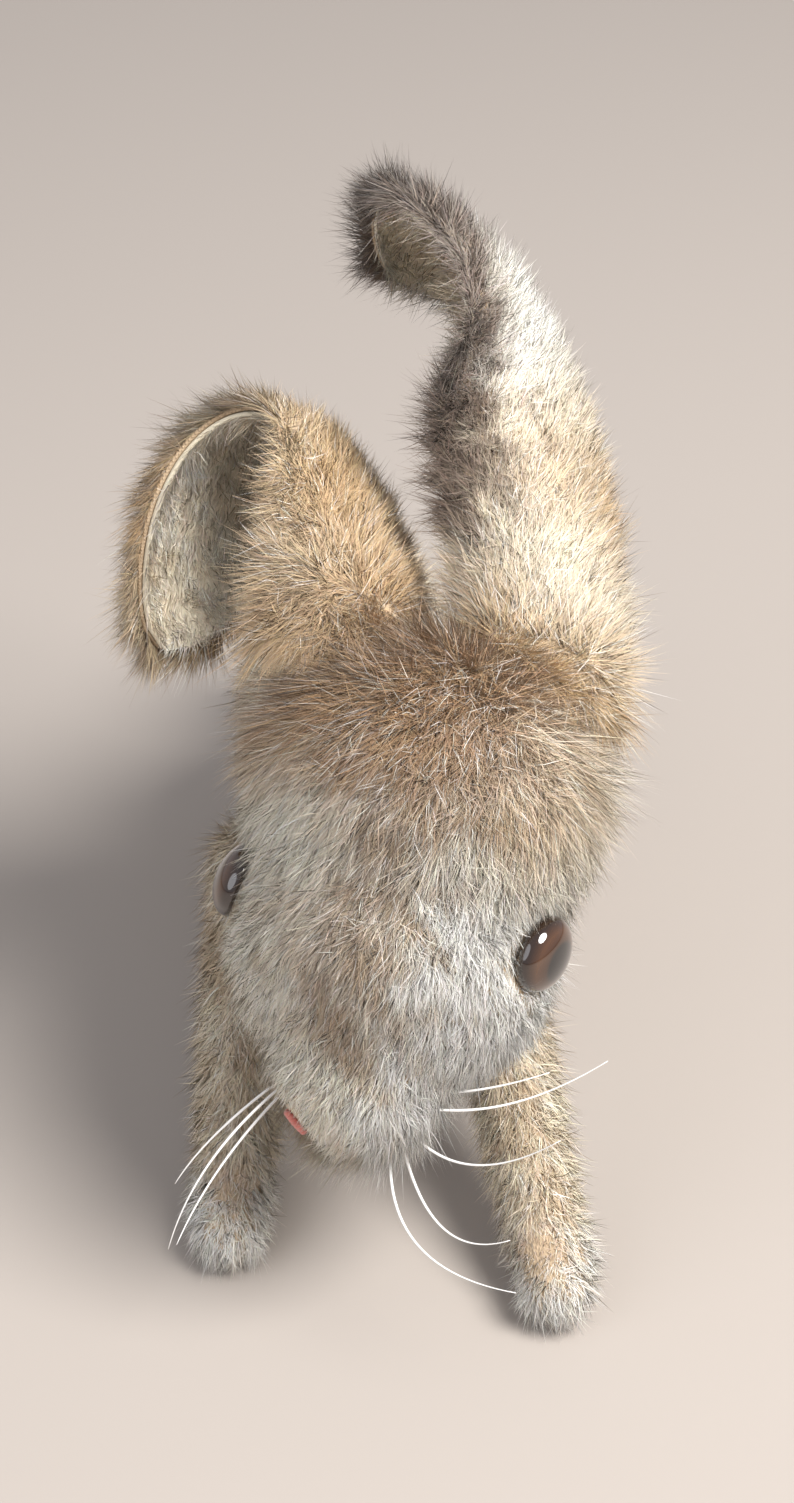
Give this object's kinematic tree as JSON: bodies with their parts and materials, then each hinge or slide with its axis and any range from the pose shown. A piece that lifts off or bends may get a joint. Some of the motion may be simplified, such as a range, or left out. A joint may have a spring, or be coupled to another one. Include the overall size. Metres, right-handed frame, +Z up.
{
  "type": "plush rabbit",
  "caption": "Small jointed mohair plush rabbit on all fours with drooping head, one upright and one folded ear, glass eyes and disc-jointed legs.",
  "frame": {"origin": "centre of the bounding box in plan, on the table that the paws stand on", "axes": "+Z up, -Y the way the rabbit faces, +X the rabbit's own left"},
  "size_m": [0.0532, 0.124, 0.1107],
  "materials": {
    "mohair": "worn mohair pile, cream with brown tips",
    "ear_velvet": "short cream velvet",
    "stuffing": "packed wood wool and kapok",
    "eye_glass": "polished brown glass with a black pupil",
    "nose_floss": "worn red embroidery floss",
    "whisker_nylon": "translucent white nylon",
    "fibreboard": "pressed fibreboard",
    "steel": "plain steel"
  },
  "bodies": {
    "trunk": {"body_cover": "mohair", "body_stuffing": "stuffing", "tail_cover": "mohair", "tail_stuffing": "stuffing", "neck_body_disc": "fibreboard", "neck_pin": "steel", "neck_washers": "steel", "left_shoulder_disc": "fibreboard", "left_shoulder_pin": "steel", "left_shoulder_washers": "steel", "left_hip_disc": "fibreboard", "left_hip_pin": "steel", "left_hip_washers": "steel", "right_shoulder_disc": "fibreboard", "right_shoulder_pin": "steel", "right_shoulder_washers": "steel", "right_hip_disc": "fibreboard", "right_hip_pin": "steel", "right_hip_washers": "steel"},
    "head": {"head_cover": "mohair", "head_stuffing": "stuffing", "left_eye": "eye_glass", "right_eye": "eye_glass", "left_eye_shank": "steel", "right_eye_shank": "steel", "nose_stitching": "nose_floss", "left_whiskers": "whisker_nylon", "right_whiskers": "whisker_nylon", "neck_head_disc": "fibreboard"},
    "left_ear": {"left_ear_back": "mohair", "left_ear_lining": "ear_velvet"},
    "right_ear": {"right_ear_back": "mohair", "right_ear_lining": "ear_velvet"},
    "left_foreleg": {"left_foreleg_cover": "mohair", "left_foreleg_stuffing": "stuffing", "left_foreleg_disc": "fibreboard"},
    "left_hind_leg": {"left_hind_leg_cover": "mohair", "left_hind_leg_stuffing": "stuffing", "left_hind_leg_disc": "fibreboard"},
    "right_foreleg": {"right_foreleg_cover": "mohair", "right_foreleg_stuffing": "stuffing", "right_foreleg_disc": "fibreboard"},
    "right_hind_leg": {"right_hind_leg_cover": "mohair", "right_hind_leg_stuffing": "stuffing", "right_hind_leg_disc": "fibreboard"}
  },
  "joints": [
    {"name": "neck_swivel", "type": "hinge", "parent": "trunk", "child": "head", "pos_m": [0.00361, -0.01929, 0.04308], "axis": [0.1919, -0.679, 0.7086], "range_deg": [-20, 25]},
    {"name": "left_ear_fold", "type": "hinge", "parent": "head", "child": "left_ear", "pos_m": [0.0188, -0.0248, 0.066], "axis": [-0.9796, 0.1153, 0.1646], "range_deg": [0, 15]},
    {"name": "right_ear_fold", "type": "hinge", "parent": "head", "child": "right_ear", "pos_m": [-0.0022, -0.0218, 0.0685], "axis": [-0.9053, 0.1889, 0.3805], "range_deg": [-20, 8]},
    {"name": "left_shoulder", "type": "hinge", "parent": "trunk", "child": "left_foreleg", "pos_m": [0.0078, -0.0058, 0.029], "axis": [1, 0, 0], "range_deg": [-5, 45]},
    {"name": "left_hip", "type": "hinge", "parent": "trunk", "child": "left_hind_leg", "pos_m": [0.0078, 0.0362, 0.025], "axis": [1, 0, 0], "range_deg": [-15, 40]},
    {"name": "right_shoulder", "type": "hinge", "parent": "trunk", "child": "right_foreleg", "pos_m": [-0.0082, -0.0058, 0.029], "axis": [1, 0, 0], "range_deg": [-5, 45]},
    {"name": "right_hip", "type": "hinge", "parent": "trunk", "child": "right_hind_leg", "pos_m": [-0.0082, 0.0362, 0.025], "axis": [1, 0, 0], "range_deg": [-15, 40]}
  ]
}
